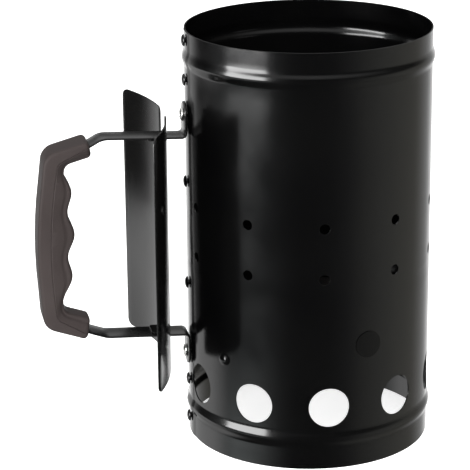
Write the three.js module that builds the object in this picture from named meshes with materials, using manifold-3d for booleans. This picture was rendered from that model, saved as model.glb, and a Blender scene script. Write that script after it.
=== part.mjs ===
// A chimney charcoal starter: a perforated steel barrel with a fixed grate, a
// strap handle with a two-part grip, and a heat shield for the hand.
// Millimetres, +Z up, standing on z = 0. The handle points to -X.
import * as THREE from 'three';
import { mergeVertices } from 'three/addons/utils/BufferGeometryUtils.js';
import Module from 'manifold-3d';

// ---- barrel ----
const barrelRadius = 82.5;
const barrelHeight = 283;
const sheet = 0.8;
const barrelSides = 80;
const beadHeight = 1.5;
const beadHalfWidth = 6.5;
const beadLevels = [21, 264.5];
const lapWidth = 18;

// ---- holes in the barrel, ten to a row ----
const holesPerRow = 10;
const airHole = { level: 43.4, radius: 13.6, turn: -3 };
const ventHoles = { levels: [132.8, 167.2], radius: 3.5, turn: -5.4 };

// ---- handle, in the plane y = 0: "out" is the distance from the barrel's axis ----
const strapWidth = 18;
const strapThick = 1.5;
const strapMid = 143.6;
const strapHalfSpan = 69.3;
const legEnd = 140.5;
const tabLength = 23;
const tabScrewDrop = 14.2;
const handleRise = 2.5;
const bendRadius = 3;

// ---- grip: drawn upright, then leaned a little so that its top is nearer the barrel ----
const gripMid = strapMid + handleRise + 0.7;
const gripLean = THREE.MathUtils.degToRad(2);
const leanPivot = 168;
const spineReach = 185.4;
const gripReach = 185.6;
const gripWidth = 25;
const gripRound = 3;
const gripEndRadius = 3.5;
const spineRadius = 335;
const spineShell = 8.7;
const spineCorner = { out: 181.2, height: 60.2, radius: 11 };
const armEnd = { outerOut: 152.4, outerHeight: 69, innerOut: 149.1, innerHeight: 57.4 };
const lowerArmRise = 2.2;
const palmCorner = { out: 167.4, height: 52, radius: 6 };
const partingCorner = { height: 54.2, radius: 5 };
const partingEnd = { out: 140, height: 71.4 };
const strapExit = { out: 150, height: 65.2 };
const fingerNearest = 160.2;
const fingerPitch = 30.1;
const fingerDepth = 4;
const fingerCentre = 3.9;
const fingerTop = 45;
const fingerFoot = -42;
const gripScrewOffset = 44;

// ---- heat shield ----
const shieldBow = 145;
const shieldNearest = 98;
const shieldHalfWidth = 67.8;
const shieldHeight = 173;
const shieldThick = 1;
const notchWidth = 19.6;
const flapLength = 12;

// ---- grate and fasteners ----
const grateLevel = 77.5;
const grateThick = 1.5;
const grateRadius = 80.4;
const grateScrewLevel = 69.6;
const grateScrewTurns = [-55, -125, 90];
const grateHolePitch = 19;
const grateHoleRadius = 5.5;
const seamRivetLevels = [11.7, 39.3, 109.3, 180.8, 250.6, 277];
const labelTurn = 15.8;
const labelLevel = 85.3;
const labelRadius = 9;

const gap = 0.3;
const lapRadius = barrelRadius + sheet;
const boreRadius = barrelRadius - sheet;
const screwHeadHeight = 2.2;

const wasm = await Module();
wasm.setup();

// ---- solids: join and cut ----
function toSolid(geometry) {
  const plain = new THREE.BufferGeometry();
  const loose = geometry.index ? geometry.toNonIndexed() : geometry;
  plain.setAttribute('position', loose.getAttribute('position').clone());
  const merged = mergeVertices(plain, 1e-4);
  const mesh = new wasm.Mesh({
    numProp: 3,
    vertProperties: new Float32Array(merged.getAttribute('position').array),
    triVerts: new Uint32Array(merged.index.array),
  });
  mesh.merge();
  return new wasm.Manifold(mesh);
}

function toGeometry(solid) {
  const mesh = solid.getMesh();
  const geometry = new THREE.BufferGeometry();
  geometry.setAttribute('position', new THREE.BufferAttribute(mesh.vertProperties, 3));
  geometry.setIndex(new THREE.BufferAttribute(mesh.triVerts, 1));
  geometry.computeVertexNormals();
  return geometry;
}

function cutAll(solid, cutters) {
  return cutters.reduce((left, cutter) => left.subtract(cutter), solid);
}

// ---- placing ----
// turn 0 faces -Y and grows toward +X, so the handle is at turn -90.
function radial(geometry, turnDegrees, level) {
  // The geometry points along +Z with its seat at z = 0; it is laid to point outward.
  const turn = THREE.MathUtils.degToRad(turnDegrees);
  geometry.rotateX(Math.PI / 2);
  geometry.rotateZ(turn);
  geometry.translate(0, 0, level);
  return geometry;
}

function evenTurns(first) {
  return Array.from({ length: holesPerRow }, (_, i) => first + (i * 360) / holesPerRow);
}

// ---- basic shapes ----
function turned(profile, sides) {
  const points = profile.map(([r, z]) => new THREE.Vector2(r, z));
  const geometry = new THREE.LatheGeometry(points, sides);
  geometry.rotateX(Math.PI / 2);
  return geometry;
}

// A solid cylinder along Z from one height to another.
function rod(radius, from, to, sides = 20) {
  return turned([[0, from], [radius, from], [radius, to], [0, to]], sides);
}

function block(width, depth, height, x, y, z) {
  const geometry = new THREE.BoxGeometry(width, depth, height);
  geometry.translate(x, y, z);
  return geometry;
}

// An outline with rounded corners: each entry is [x, y] or [x, y, cornerRadius].
function roundedOutline(corners) {
  const points = [];
  corners.forEach(([x, y, radius = 0], i) => {
    const here = new THREE.Vector2(x, y);
    if (radius === 0) {
      points.push(here);
      return;
    }
    const [px, py] = corners[(i + corners.length - 1) % corners.length];
    const [nx, ny] = corners[(i + 1) % corners.length];
    const back = new THREE.Vector2(px, py).sub(here).normalize();
    const ahead = new THREE.Vector2(nx, ny).sub(here).normalize();
    const half = Math.acos(THREE.MathUtils.clamp(back.dot(ahead), -1, 1)) / 2;
    const middle = back.clone().add(ahead).normalize();
    const centre = here.clone().addScaledVector(middle, radius / Math.sin(half));
    const start = here.clone().addScaledVector(back, radius / Math.tan(half)).sub(centre);
    const end = here.clone().addScaledVector(ahead, radius / Math.tan(half)).sub(centre);
    const sweep = Math.atan2(start.cross(end), start.dot(end));
    const steps = Math.max(2, Math.ceil(Math.abs(sweep) / 0.35));
    for (let k = 0; k <= steps; k += 1) {
      const step = start.clone().rotateAround(new THREE.Vector2(), (sweep * k) / steps);
      points.push(step.add(centre));
    }
  });
  return points;
}

// A prism across the handle: outline in [out, z], centred on y = 0.
function acrossHandle(outline, width, bevel = 0) {
  const shape = new THREE.Shape(outline.map((p) => new THREE.Vector2(-p.x, p.y)));
  const geometry = new THREE.ExtrudeGeometry(shape, {
    depth: width - 2 * bevel,
    bevelEnabled: bevel > 0,
    bevelThickness: bevel,
    bevelSize: bevel,
    bevelOffset: -bevel,
    bevelSegments: 3,
  });
  geometry.rotateX(Math.PI / 2);
  geometry.translate(0, width / 2 - bevel, 0);
  return geometry;
}

// A prism along the handle's "out" direction: outline in [y, z].
function alongHandle(outline, fromOut, toOut) {
  const shape = new THREE.Shape(outline);
  const geometry = new THREE.ExtrudeGeometry(shape, {
    depth: toOut - fromOut,
    bevelEnabled: false,
  });
  geometry.rotateX(Math.PI / 2);
  geometry.rotateZ(-Math.PI / 2);
  geometry.translate(-fromOut, 0, 0);
  return geometry;
}

function rectangle(halfWidth, low, high, radius) {
  return roundedOutline([
    [-halfWidth, low, radius],
    [halfWidth, low, radius],
    [halfWidth, high, radius],
    [-halfWidth, high, radius],
  ]);
}

// ---- barrel ----
function beadBulge(z) {
  return beadLevels.reduce((sum, level) => {
    const across = Math.abs(z - level) / beadHalfWidth;
    return across < 1 ? sum + (beadHeight * (1 + Math.cos(Math.PI * across))) / 2 : sum;
  }, 0);
}

function barrelStations(low, high) {
  const steps = [-1, -0.5, 0, 0.5, 1];
  const inBeads = beadLevels.flatMap((level) => steps.map((s) => level + s * beadHalfWidth));
  return [low, ...inBeads, high];
}

function barrelWall(inner, outer, low, high) {
  const stations = barrelStations(low, high);
  const outside = stations.map((z) => [outer + beadBulge(z), z]);
  const inside = stations.map((z) => [inner + beadBulge(z), z]).reverse();
  const start = [inner + beadBulge(low), low];
  return turned([start, ...outside, ...inside], barrelSides);
}

function makeBarrel() {
  const wall = toSolid(barrelWall(boreRadius, barrelRadius, 0, barrelHeight));
  const lapWall = toSolid(barrelWall(barrelRadius - 0.2, lapRadius, 0, barrelHeight));
  const lapZone = toSolid(block(30, lapWidth, barrelHeight + 2, -barrelRadius, 0, barrelHeight / 2));
  const reach = lapRadius + 20;
  const cutters = [];
  const drill = (radius, turn, level, sides) => {
    cutters.push(toSolid(radial(rod(radius, 40, reach, sides), turn, level)));
  };
  evenTurns(airHole.turn).forEach((turn) => drill(airHole.radius, turn, airHole.level, 24));
  ventHoles.levels.forEach((level) => {
    evenTurns(ventHoles.turn).forEach((turn) => drill(ventHoles.radius, turn, level, 12));
  });
  seamRivetLevels.forEach((level) => drill(2.1, -90, level, 12));
  tabScrewLevels().forEach((level) => drill(2.4, -90, level, 12));
  grateScrewTurns.forEach((turn) => drill(2.1, turn, grateScrewLevel, 12));
  return cutAll(wall.add(lapWall.intersect(lapZone)), cutters);
}

// ---- handle ----
function tabScrewLevels() {
  return [strapMid + strapHalfSpan + tabScrewDrop, strapMid - strapHalfSpan - tabScrewDrop];
}

// The grip's outer curve, or a line inset from it, as distance out at a height from mid-grip.
function spine(offset, inset) {
  return spineReach - inset - (offset * offset) / (2 * spineRadius);
}

// A point of the upright grip, [out, height from mid-grip], leaned about its middle.
function leaned([out, height, radius = 0]) {
  const [x, z] = [out - leanPivot, height];
  return [
    leanPivot + x * Math.cos(gripLean) - z * Math.sin(gripLean),
    gripMid + z * Math.cos(gripLean) + x * Math.sin(gripLean),
    radius,
  ];
}

function leanedGeometry(geometry) {
  geometry.translate(leanPivot, 0, -gripMid);
  geometry.rotateY(gripLean);
  geometry.translate(-leanPivot, 0, gripMid);
  return geometry;
}

// Centre line of the strap in [out, z] with bend radii; side is +1 above and -1 below.
function strapHalf(side) {
  const level = strapMid + side * strapHalfSpan;
  const inset = spineShell + gap + strapThick / 2;
  const tabOut = lapRadius + gap + strapThick / 2;
  const insideGrip = [
    [strapExit.out, side * strapExit.height, 12],
    [spine(53.5, inset), side * 53.5, 6],
    [spine(40, inset), side * 40, 40],
    [spine(20, inset), side * 20, 40],
  ];
  return [
    [tabOut, level + side * tabLength],
    [tabOut, level, bendRadius],
    [legEnd, level + handleRise, 14],
    ...insideGrip.map(leaned),
  ];
}

function bandOutline(corners, half) {
  // Round the centre line, then step off to both sides of it.
  const line = roundedOutline(corners);
  const sides = [[], []];
  line.forEach((point, i) => {
    const before = line[Math.max(i - 1, 0)];
    const after = line[Math.min(i + 1, line.length - 1)];
    const toHere = point.clone().sub(before).normalize();
    const toNext = after.clone().sub(point).normalize();
    const along = toHere.add(toNext).normalize();
    const square = new THREE.Vector2(-along.y, along.x);
    sides[0].push(point.clone().addScaledVector(square, half));
    sides[1].unshift(point.clone().addScaledVector(square, -half));
  });
  return [...sides[0], ...sides[1]];
}

function strapLine() {
  return [...strapHalf(1), ...strapHalf(-1).reverse()];
}

function strapBand(width, half) {
  return toSolid(acrossHandle(bandOutline(strapLine(), half), width));
}

function makeStrap() {
  const low = strapMid - strapHalfSpan - tabLength;
  const high = strapMid + strapHalfSpan + tabLength;
  const mask = toSolid(alongHandle(rectangle(strapWidth / 2, low, high, 8.5), 60, 200));
  const cutters = tabScrewLevels().map((level) => toSolid(radial(rod(2.4, 75, 95, 12), -90, level)));
  gripScrewLevels().forEach((level) => cutters.push(gripRod(2, 165, 190, 12, level)));
  return cutAll(strapBand(strapWidth, strapThick / 2).intersect(mask), cutters);
}

// ---- grip ----
function gripScrewLevels() {
  return [gripMid + gripScrewOffset, gripMid - gripScrewOffset];
}

// A level rod of the upright grip, leaned with it.
function gripRod(radius, from, to, sides, level) {
  return toSolid(leanedGeometry(radial(rod(radius, from, to, sides), -90, level)));
}

function fingerLine(offset) {
  const turn = (2 * Math.PI * (offset - fingerCentre)) / fingerPitch;
  const wave = (fingerDepth / 2) * (1 - Math.cos(turn));
  return fingerNearest + wave + 0.002 * offset * offset;
}

function gripOutline() {
  // The lower arm's inner face sits a little nearer the fingers than the upper one's.
  const arm = (side) => {
    const rise = side < 0 ? lowerArmRise : 0;
    return [
      [spine(40, 0), side * 40],
      [spineCorner.out, side * spineCorner.height, spineCorner.radius],
      [armEnd.outerOut, side * armEnd.outerHeight, gripEndRadius],
      [armEnd.innerOut, side * (armEnd.innerHeight - rise), gripEndRadius],
      [palmCorner.out, side * (palmCorner.height - rise), palmCorner.radius],
    ];
  };
  const spineArc = [-24, -12, 0, 12, 24].map((offset) => [spine(offset, 0), offset]);
  const fingers = Array.from({ length: 25 }, (_, i) => {
    const offset = fingerTop + ((fingerFoot - fingerTop) * i) / 24;
    return [fingerLine(offset), offset];
  });
  return roundedOutline([...spineArc, ...arm(1), ...fingers, ...arm(-1).reverse()].map(leaned));
}

// Everything outside the line where the two grip halves meet.
function spineSide(inset) {
  const drop = inset - spineShell;
  const arm = (side) => [
    [partingEnd.out, side * (partingEnd.height - drop)],
    [spine(partingCorner.height, inset), side * (partingCorner.height - drop), partingCorner.radius],
  ];
  const middle = [-40, -24, -12, 0, 12, 24, 40].map((offset) => [spine(offset, inset), offset]);
  const frame = [[partingEnd.out, 90], [210, 90], [210, -90], [partingEnd.out, -90]];
  const line = [...arm(-1), ...middle, ...arm(1).reverse(), ...frame];
  return toSolid(acrossHandle(roundedOutline(line.map(leaned)), 60));
}

function makeGripHalves() {
  const body = toSolid(acrossHandle(gripOutline(), gripWidth, gripRound));
  const channel = strapBand(strapWidth + 2 * gap, strapThick / 2 + gap);
  const wells = gripScrewLevels().map((level) => gripRod(3.6, 150, 171.3, 20, level));
  const bores = gripScrewLevels().map((level) => gripRod(1.9, 160, 181, 12, level));
  const outer = cutAll(body.intersect(spineSide(spineShell)), [channel, ...bores]);
  const inner = cutAll(body.subtract(spineSide(spineShell + gap)), [channel, ...wells, ...bores]);
  return { outer, inner };
}

// ---- heat shield ----
function shieldOut(y) {
  return shieldNearest + shieldBow - Math.sqrt(shieldBow * shieldBow - y * y);
}

function shieldSheet() {
  const face = (shift) => Array.from({ length: 17 }, (_, i) => {
    const y = shieldHalfWidth * (i / 8 - 1);
    return new THREE.Vector2(-shieldOut(y) - shift, y);
  });
  const shape = new THREE.Shape([...face(0), ...face(shieldThick).reverse()]);
  const geometry = new THREE.ExtrudeGeometry(shape, { depth: shieldHeight, bevelEnabled: false });
  geometry.translate(0, 0, strapMid - shieldHeight / 2);
  return toSolid(geometry);
}

// Height of the strap's centre line where it crosses the shield.
function strapAtShield(side) {
  const along = (shieldNearest - lapRadius) / (legEnd - lapRadius);
  return strapMid + side * strapHalfSpan + handleRise * along;
}

function makeShield() {
  const low = strapMid - shieldHeight / 2;
  const high = strapMid + shieldHeight / 2;
  const mask = toSolid(alongHandle(rectangle(shieldHalfWidth, low, high, 5), 80, 140));
  let shield = shieldSheet().intersect(mask);
  [1, -1].forEach((side) => {
    const clear = strapAtShield(side) - side * (strapThick / 2 + gap);
    const edge = side > 0 ? high : low;
    const middle = (clear + edge + side * 20) / 2;
    const notch = block(30, notchWidth, Math.abs(edge + side * 20 - clear), -shieldNearest, 0, middle);
    shield = shield.subtract(toSolid(notch));
    // The flap slopes with the strap, so it keeps its gap all along.
    const flapOutline = [
      [shieldNearest + 0.2, 0],
      [shieldNearest + flapLength, 0],
      [shieldNearest + flapLength, -side * shieldThick],
      [shieldNearest + 0.2, -side * shieldThick],
    ].map(([out, lift]) => {
      const slope = handleRise / (legEnd - lapRadius);
      return new THREE.Vector2(out, clear + lift + slope * (out - shieldNearest));
    });
    shield = shield.add(toSolid(acrossHandle(flapOutline, strapWidth - 2)));
  });
  return shield;
}

// ---- grate ----
function makeGrate() {
  const top = grateLevel + grateThick;
  let grate = toSolid(rod(grateRadius, grateLevel, top, 80));
  const row = (grateHolePitch * Math.sqrt(3)) / 2;
  const holes = [];
  for (let j = -4; j <= 4; j += 1) {
    for (let i = -4; i <= 4; i += 1) {
      const x = (i + (Math.abs(j) % 2) / 2) * grateHolePitch;
      const y = j * row;
      if (Math.hypot(x, y) < grateRadius - 15) {
        const hole = rod(grateHoleRadius, grateLevel - 1, top + 1, 12);
        hole.translate(x, y, 0);
        holes.push(toSolid(hole));
      }
    }
  }
  grateScrewTurns.forEach((turn) => {
    const tab = block(14, 1.5, top - 63, 0, -(grateRadius - 0.75), (top + 63) / 2);
    tab.rotateZ(THREE.MathUtils.degToRad(turn));
    grate = grate.add(toSolid(tab));
    holes.push(toSolid(radial(rod(2.1, 60, 90, 12), turn, grateScrewLevel)));
  });
  return cutAll(grate, holes);
}

// ---- fasteners: profiles as [radius, distance along the axis] ----
function domeProfile(headRadius, headHeight, seat, shankRadius) {
  const dome = [0, 1, 2, 3].map((k) => {
    const angle = (Math.PI / 6) * k;
    return [headRadius * Math.cos(angle), seat + headHeight * (0.25 + 0.75 * Math.sin(angle))];
  });
  dome[3][0] = 0;
  return [[shankRadius, seat], [headRadius, seat], ...dome];
}

function makeRivet(level) {
  const head = domeProfile(4, 2, lapRadius + gap, 1.8);
  const tail = boreRadius - gap - 0.1;
  const profile = [[0, tail - 1.2], [3, tail - 1.2], [3, tail], [1.8, tail], ...head];
  return toSolid(radial(turned(profile, 16), -90, level));
}

function makeScrew(turn, level, size) {
  const head = domeProfile(size.head, screwHeadHeight, size.seat, size.shank);
  let screw = toSolid(radial(turned([[0, size.tip], [size.shank, size.tip], ...head], 20), turn, level));
  if (!size.recess) {
    return screw;
  }
  [[3.6, 0.9], [0.9, 3.6]].forEach(([width, height]) => {
    const slot = block(width, height, 4, 0, 0, size.seat + screwHeadHeight - 1.1 + 2);
    screw = screw.subtract(toSolid(radial(slot, turn, level)));
  });
  return screw;
}

function makeNut(turn, level, face) {
  const nut = toSolid(radial(rod(4, face - 3, face, 6), turn, level));
  return nut.subtract(toSolid(radial(rod(2.3, face - 6, face + 3, 16), turn, level)));
}

// A grip screw points outward, with its head in the finger side's well.
function makeGripScrew(level) {
  const profile = [[0, 168.8], [3.2, 168.8], [3.2, 170.9], [1.6, 170.9], [1.6, 180.3], [0, 180.3]];
  return toSolid(leanedGeometry(radial(turned(profile, 16), -90, level)));
}

function makeLabel() {
  const skin = toSolid(turned([
    [barrelRadius + gap, labelLevel - 15],
    [barrelRadius + gap + 0.3, labelLevel - 15],
    [barrelRadius + gap + 0.3, labelLevel + 15],
    [barrelRadius + gap, labelLevel + 15],
    [barrelRadius + gap, labelLevel - 15],
  ], barrelSides));
  return skin.intersect(toSolid(radial(rod(labelRadius, 60, 100, 36), labelTurn, labelLevel)));
}

// ---- materials ----
const blackPaint = () => ({ color: 0x161616, roughness: 0.3, metalness: 0.2 });
const brightSteel = () => ({ color: 0xb9b9b7, roughness: 0.28, metalness: 1 });
const plainSteel = () => ({ color: 0x8b8a86, roughness: 0.45, metalness: 0.9 });
const brownPlastic = () => ({ color: 0x4b4442, roughness: 0.6, metalness: 0 });

function addPiece(group, name, solid, look) {
  const geometry = toGeometry(solid);
  // The barrel's axis is moved so that the whole object is centred on x = 0.
  const rightReach = barrelRadius + gap + screwHeadHeight;
  geometry.translate((gripReach - rightReach) / 2, 0, 0);
  const mesh = new THREE.Mesh(geometry, new THREE.MeshStandardMaterial(look));
  mesh.name = name;
  group.add(mesh);
}

function build() {
  const group = new THREE.Group();
  group.name = 'chimney_charcoal_starter';
  const add = (name, solid, look) => addPiece(group, name, solid, look);
  add('barrel', makeBarrel(), blackPaint());
  seamRivetLevels.forEach((level, i) => add(`seam_rivet_${i + 1}`, makeRivet(level), blackPaint()));
  add('handle_strap', makeStrap(), blackPaint());
  const [upper, lower] = tabScrewLevels();
  const tabSeat = lapRadius + gap + strapThick + gap;
  const handleScrew = { head: 4.5, seat: tabSeat, shank: 2, tip: 76.5, recess: true };
  add('handle_screw_upper', makeScrew(-90, upper, handleScrew), brightSteel());
  add('handle_screw_lower', makeScrew(-90, lower, handleScrew), brightSteel());
  add('handle_nut_upper', makeNut(-90, upper, 81.2), brightSteel());
  add('handle_nut_lower', makeNut(-90, lower, 81.2), brightSteel());
  add('heat_shield', makeShield(), blackPaint());
  const grip = makeGripHalves();
  add('grip_outer_shell', grip.outer, brownPlastic());
  add('grip_inner_shell', grip.inner, brownPlastic());
  const [gripUpper, gripLower] = gripScrewLevels();
  add('grip_screw_upper', makeGripScrew(gripUpper), brightSteel());
  add('grip_screw_lower', makeGripScrew(gripLower), brightSteel());
  add('charcoal_grate', makeGrate(), plainSteel());
  const grateScrew = { head: 4, seat: barrelRadius + gap, shank: 1.8, tip: 74, recess: false };
  grateScrewTurns.forEach((turn, i) => {
    add(`grate_screw_${i + 1}`, makeScrew(turn, grateScrewLevel, grateScrew), blackPaint());
    add(`grate_nut_${i + 1}`, makeNut(turn, grateScrewLevel, 78.5), plainSteel());
  });
  add('blank_label', makeLabel(), { color: 0x0e0e0e, roughness: 0.55, metalness: 0 });
  return group;
}

export default build();
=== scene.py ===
"""Looks of the chimney charcoal starter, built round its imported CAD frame.

The frame is in metres with +Z up, and the handle points to -X. Lengths below are in
millimetres, and MM turns them into metres. "Out" is the distance from the barrel's axis.
"""

import math

import bmesh
import bpy
from mathutils import Matrix, Vector
from mathutils.geometry import intersect_line_line_2d


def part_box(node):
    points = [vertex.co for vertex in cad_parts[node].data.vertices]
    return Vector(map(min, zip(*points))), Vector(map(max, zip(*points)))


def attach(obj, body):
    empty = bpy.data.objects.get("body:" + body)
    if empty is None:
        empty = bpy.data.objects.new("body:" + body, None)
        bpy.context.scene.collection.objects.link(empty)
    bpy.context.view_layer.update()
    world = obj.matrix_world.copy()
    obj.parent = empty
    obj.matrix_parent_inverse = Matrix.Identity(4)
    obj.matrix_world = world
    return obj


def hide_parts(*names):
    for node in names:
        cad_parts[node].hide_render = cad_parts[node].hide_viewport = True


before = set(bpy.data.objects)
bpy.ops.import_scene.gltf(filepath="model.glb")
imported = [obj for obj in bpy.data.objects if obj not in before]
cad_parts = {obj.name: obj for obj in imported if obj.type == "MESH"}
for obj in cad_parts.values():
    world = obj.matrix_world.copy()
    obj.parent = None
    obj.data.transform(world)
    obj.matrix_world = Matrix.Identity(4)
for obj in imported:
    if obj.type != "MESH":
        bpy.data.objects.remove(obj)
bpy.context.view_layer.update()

MM = 0.001
TURN = 2 * math.pi

# ---- barrel, from the frame ----
low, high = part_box("barrel")
BARREL_HEIGHT = (high.z - low.z) / MM
SHEET = 0.8
BEAD_HEIGHT = 1.5
BARREL_RADIUS = (high.y - low.y) / 2 / MM - BEAD_HEIGHT
AXIS_X = high.x / MM - BARREL_RADIUS - BEAD_HEIGHT
BEAD_HALF_WIDTH = 6.5
BEAD_LEVELS = (21.0, 264.5)
LAP_HALF_ANGLE = math.radians(6.3)
LAP_RAMP = math.radians(1.5)
LAP_LIFT = 0.45
LAP_RADIUS = BARREL_RADIUS + SHEET
GAP = 0.3

# ---- rows of holes: centre level, radius, first turn, patch height ----
HOLES_PER_ROW = 10
AIR_ROW = (43.4, 13.6, -3.0, 27.9, 61.0)
VENT_ROWS = ((132.8, 3.5, -5.4, 124.8, 140.8), (167.2, 3.5, -5.4, 159.2, 175.2))
STEPS_ACROSS = 24
STEPS_UP = 16
PATCH_LAYERS = 9

# ---- handle ----
STRAP_WIDTH = 18.0
STRAP_THICK = 1.5
STRAP_MID = 143.6
STRAP_HALF_SPAN = 69.3
LEG_END = 140.5
TAB_LENGTH = 23.0
TAB_SCREW_DROP = 14.2
HANDLE_RISE = 2.5

# ---- grip: drawn upright round its middle, then leaned so that its top is nearer the barrel ----
GRIP_MID = STRAP_MID + HANDLE_RISE + 0.7
GRIP_LEAN = math.radians(2.0)
LEAN_PIVOT = 168.0
GRIP_HALF_WIDTH = 12.5
SPINE_REACH = 185.4
SPINE_RADIUS = 335.0
SPINE_SHELL = 8.7
SPINE_CORNER = (181.2, 60.2, 11)
ARM_END_OUTER = (152.4, 69.0)
ARM_END_INNER = (149.1, 57.4)
LOWER_ARM_RISE = 2.2
PALM_CORNER = (167.4, 52.0, 6)
PARTING_END = (140.0, 71.4)
PARTING_CORNER_HEIGHT = 54.2
PARTING_GAP = 0.08
STRAP_EXIT = (150, 65.2)
FINGER_NEAREST = 160.2
FINGER_PITCH = 30.1
FINGER_DEPTH = 4.0
FINGER_CENTRE = 3.9
FINGER_TOP = 45.0
FINGER_FOOT = -42.0
END_ROUND = 3.0
GRIP_SCREW_OFFSET = 44.0
WELL_RADIUS = 3.6
WELL_MOUTH = 150.0
WELL_FLOOR = 171.3

# ---- heat shield ----
SHIELD_BOW = 145.0
SHIELD_NEAREST = 98.0
SHIELD_HALF_WIDTH = 67.8
SHIELD_HEIGHT = 173.0
SHIELD_THICK = 1.0
NOTCH_HALF_WIDTH = 9.8
FLAP_LENGTH = 12.0

# ---- grate, fasteners and label ----
GRATE_LEVEL = 77.5
GRATE_THICK = 1.5
GRATE_RADIUS = 80.4
GRATE_TAB_FOOT = 63.0
GRATE_TAB_THICK = 1.4
GRATE_SCREW_LEVEL = 69.6
GRATE_SCREW_TURNS = (-55.0, -125.0, 90.0)
GRATE_HOLE_PITCH = 19.0
GRATE_HOLE_RADIUS = 5.5
TAB_NUT_FACE = 81.2
GRATE_NUT_FACE = 78.5
SEAM_RIVET_LEVELS = (11.7, 39.3, 109.3, 180.8, 250.6, 277.0)
LABEL_TURN = 15.8
LABEL_LEVEL = 85.3
LABEL_RADIUS = 9.0


# ---- camera: it stands FRONT_TURN degrees round the barrel from -Y ----
FRONT_TURN = -13.0
CAMERA_STAND = 1378.3
CAMERA_HEIGHT = 587.3
CAMERA_TURN = -10.93
CAMERA_PITCH = 18.09
CAMERA_ROLL = -0.52
CAMERA_LENS = 162.7

# ---- studio: brightness of the surroundings by angle from the camera's side, right positive ----
# Worked back by hand from how light and dark the real barrel, shield and grip are, then
# adjusted by comparing renders.
FRONT_AND_RIGHT_WALLS = (
    (-38, 0.06), (-23, 0.05), (-8, 0.02), (8, 0.02), (23, 0.04), (38, 0.12), (55, (0.31, 0.31, 0.29)),
    (73, (0.44, 0.44, 0.41)), (93, (0.49, 0.485, 0.44)), (118, (0.42, 0.41, 0.37)), (145, 0.7), (162, 1.3),
    (185, 1.0),
)
LOW_WALLS = (
    (-175, 1.6), (-160, 1.6), (-152, 0.75), (-126, 0.95), (-104, 1.4), (-92, 0.9), (-82, 0.2), (-70, 0.06),
    *FRONT_AND_RIGHT_WALLS,
)
HIGH_WALLS = (
    (-175, 1.6), (-160, 1.6), (-152, 0.75), (-136, 0.75), (-130, 0.5), (-124, 0.15), (-119, 0.05),
    (-90, 0.05), (-82, 0.15), *FRONT_AND_RIGHT_WALLS,
)
SOFTBOX_ACROSS = (
    (-105, 0.0), (-90, 0.3), (-75, 0.8), (-60, 1.0), (-46, 0.75), (-38, 0.45), (-25, 0.1), (-15, 0.0),
)
# By height of the direction: 0 is level, -0.5 is thirty degrees down.
WALL_CHANGE = (-0.283, -0.27)
WALLS_UP = ((-0.5, 0.7), (-0.4, 1.0), (0.0, 1.0), (0.15, 0.12), (0.5, 0.12))
SOFTBOX_UP = (
    (-0.5, 0.0), (-0.43, 1.5), (-0.4, 2.4), (-0.385, 0.1), (-0.37, 0.03), (-0.33, 0.03),
    (-0.29, 0.08), (-0.27, 0.2), (-0.25, 0.4), (-0.2, 0.5), (0.35, 0.5), (0.48, 0.0),
)
SOFTBOX_TINT = (0.93, 1.0, 1.0)
CEILING = ((0.3, 0.0), (0.5, 0.9))
BRIGHTEST = 4.0
BACKGROUND_WHITE = 1.1
FLOOR_GLOW = 0.75
FLOOR_HALF_SIZE = 3.0
KEY_PLACE = (-0.5, -1.45, 1.1)
KEY_AIM = (-0.05, 0, 0.15)
KEY_SIZE = (1.2, 1.2)
KEY_POWER = 60
SOFTBOX_PLACE = (-1.88, -0.68, 0.42)
SOFTBOX_SIZE = (1.5, 1.1)
SOFTBOX_POWER = 70


# -------------------------------- mesh helpers
def new_piece(name, mesh, material, replaced, smooth_angle=35.0):
    """Makes an object of the mesh, shades it, and has it stand for CAD nodes."""
    piece = bpy.data.objects.new(name, mesh)
    bpy.context.scene.collection.objects.link(piece)
    mesh.materials.append(material)
    mesh.polygons.foreach_set("use_smooth", [True] * len(mesh.polygons))
    mesh.set_sharp_from_angle(angle=math.radians(smooth_angle))
    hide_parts(*replaced)
    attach(piece, "root")
    return piece


def mesh_from(name, points, faces):
    """Points are in millimetres round the barrel's axis."""
    mesh = bpy.data.meshes.new(name)
    mesh.from_pydata([((x + AXIS_X) * MM, y * MM, z * MM) for x, y, z in points], [], faces)
    work = bmesh.new()
    work.from_mesh(mesh)
    bmesh.ops.remove_doubles(work, verts=work.verts, dist=1e-7)
    bmesh.ops.recalc_face_normals(work, faces=work.faces)
    work.to_mesh(mesh)
    work.free()
    return mesh


def mesh_of(name, work):
    """Turns a bmesh in metres into a mesh."""
    bmesh.ops.recalc_face_normals(work, faces=work.faces)
    mesh = bpy.data.meshes.new(name)
    work.to_mesh(mesh)
    work.free()
    return mesh


def face_outward(mesh):
    """Makes every face of a closed mesh point out of it."""
    work = bmesh.new()
    work.from_mesh(mesh)
    bmesh.ops.recalc_face_normals(work, faces=work.faces)
    work.to_mesh(mesh)
    work.free()


def ring_faces(first, second):
    """The four-sided faces between two rings of point numbers."""
    faces = []
    for k in range(len(first)):
        n = (k + 1) % len(first)
        faces.append((first[k], first[n], second[n], second[k]))
    return faces


def thicken(piece, thickness):
    """Gives a flat sheet its thickness, half to each side."""
    solid = piece.modifiers.new("thickness", "SOLIDIFY")
    solid.thickness = thickness * MM
    solid.offset = 0


def plain_piece(name, mesh, material):
    """A detail that goes with a piece and stands for no CAD node of its own."""
    piece = bpy.data.objects.new(name, mesh)
    bpy.context.scene.collection.objects.link(piece)
    mesh.materials.append(material)
    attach(piece, "root")
    return piece


def soften_edges(piece, width, segments=2, angle=50.0):
    bevel = piece.modifiers.new("soft_edges", "BEVEL")
    bevel.width = width * MM
    bevel.segments = segments
    bevel.limit_method = "ANGLE"
    bevel.angle_limit = math.radians(angle)
    bevel.harden_normals = False


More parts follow.
